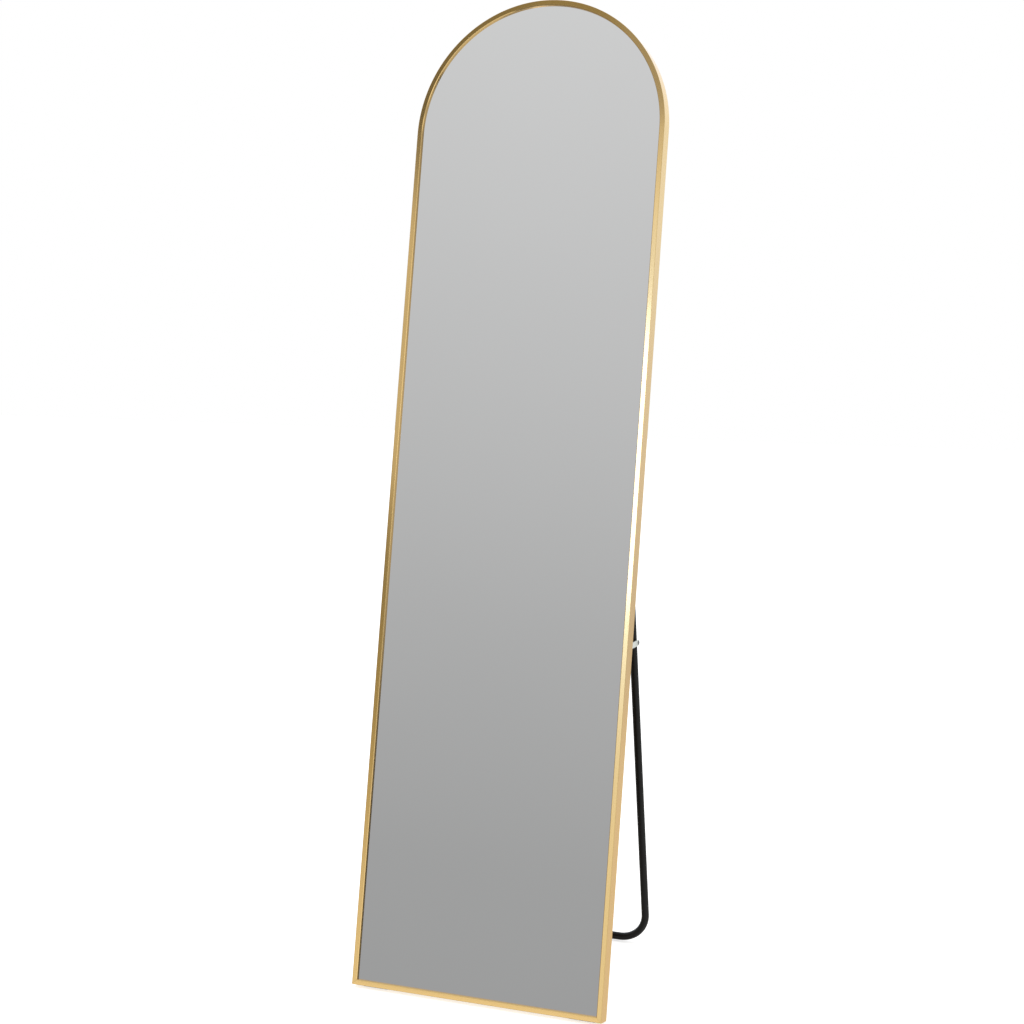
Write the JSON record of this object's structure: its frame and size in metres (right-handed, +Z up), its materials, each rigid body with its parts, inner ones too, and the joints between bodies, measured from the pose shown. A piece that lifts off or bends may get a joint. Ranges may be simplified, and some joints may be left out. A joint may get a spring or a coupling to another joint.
{
  "type": "standing mirror",
  "caption": "Tall arched dressing mirror in a slim gold metal frame, leaning back on a black tube stand that folds flat behind it on jointed stays.",
  "frame": {"origin": "on the floor, under the middle of the space that the open mirror stands over", "axes": "+X across the mirror to the right as seen from the front, +Y from the front to the back, +Z up"},
  "size_m": [0.4, 0.3556, 1.4779],
  "materials": {
    "frame": "brushed and gold anodised",
    "die_cast": "as cast",
    "dark_steel": "black zinc",
    "mirror": "silvered float glass",
    "film": "satin",
    "foam": "matt foam",
    "board": "smooth hardboard",
    "spring_steel": "blued",
    "black_paint": "satin powder coat",
    "black_plastic": "moulded",
    "zinc_plate": "zinc plated",
    "rubber": "moulded"
  },
  "bodies": {
    "mirror": {"arch_profile": "frame", "bottom_rail": "frame", "corner_key_left": "die_cast", "corner_key_right": "die_cast", "corner_grub_screws": "dark_steel", "mirror_glass": "mirror", "safety_film": "film", "foam_sheet": "foam", "back_board": "board", "board_springs": "spring_steel", "hinge_bracket_left": "black_paint", "hinge_bracket_right": "black_paint", "hinge_bracket_screws": "dark_steel", "hinge_pin_left": "dark_steel", "hinge_pin_right": "dark_steel", "stay_bracket_left": "zinc_plate", "stay_bracket_right": "zinc_plate", "stay_bracket_screws": "dark_steel", "frame_rivet_left": "dark_steel", "frame_rivet_right": "dark_steel", "rail_foot_left": "rubber", "rail_foot_right": "rubber"},
    "stand": {"stand_tube": "black_paint", "tube_plug_left": "black_plastic", "tube_plug_right": "black_plastic", "leg_rivet_left": "dark_steel", "leg_rivet_right": "dark_steel", "stand_foot_left": "rubber", "stand_foot_right": "rubber"},
    "frame_link_left": {"frame_link_left": "zinc_plate", "elbow_pin_left": "dark_steel"},
    "leg_link_left": {"leg_link_left": "zinc_plate", "elbow_collar_left": "dark_steel"},
    "frame_link_right": {"frame_link_right": "zinc_plate", "elbow_pin_right": "dark_steel"},
    "leg_link_right": {"leg_link_right": "zinc_plate", "elbow_collar_right": "dark_steel"}
  },
  "joints": [
    {"name": "stand_fold", "type": "hinge", "parent": "mirror", "child": "stand", "pos_m": [0, 0.03228, 0.907], "axis": [-1, 0, 0], "range_deg": [0, 19.73]},
    {"name": "frame_link_turn_left", "type": "hinge", "parent": "mirror", "child": "frame_link_left", "pos_m": [-0.15, -0.045, 0.50944], "axis": [1, 0, 0], "range_deg": [0, 80.14]},
    {"name": "leg_link_turn_left", "type": "hinge", "parent": "stand", "child": "leg_link_left", "pos_m": [-0.15, 0.09373, 0.50669], "axis": [-1, 0, 0], "range_deg": [0, 80.14]},
    {"name": "frame_link_turn_right", "type": "hinge", "parent": "mirror", "child": "frame_link_right", "pos_m": [0.15, -0.045, 0.50944], "axis": [1, 0, 0], "range_deg": [0, 80.14]},
    {"name": "leg_link_turn_right", "type": "hinge", "parent": "stand", "child": "leg_link_right", "pos_m": [0.15, 0.09373, 0.50669], "axis": [-1, 0, 0], "range_deg": [0, 80.14]}
  ],
  "couplings": [
    {"joint": "frame_link_turn_left", "follows": "stand_fold", "ratio": 4.0623},
    {"joint": "leg_link_turn_left", "follows": "stand_fold", "ratio": 4.0623},
    {"joint": "frame_link_turn_right", "follows": "stand_fold", "ratio": 4.0623},
    {"joint": "leg_link_turn_right", "follows": "stand_fold", "ratio": 4.0623}
  ]
}
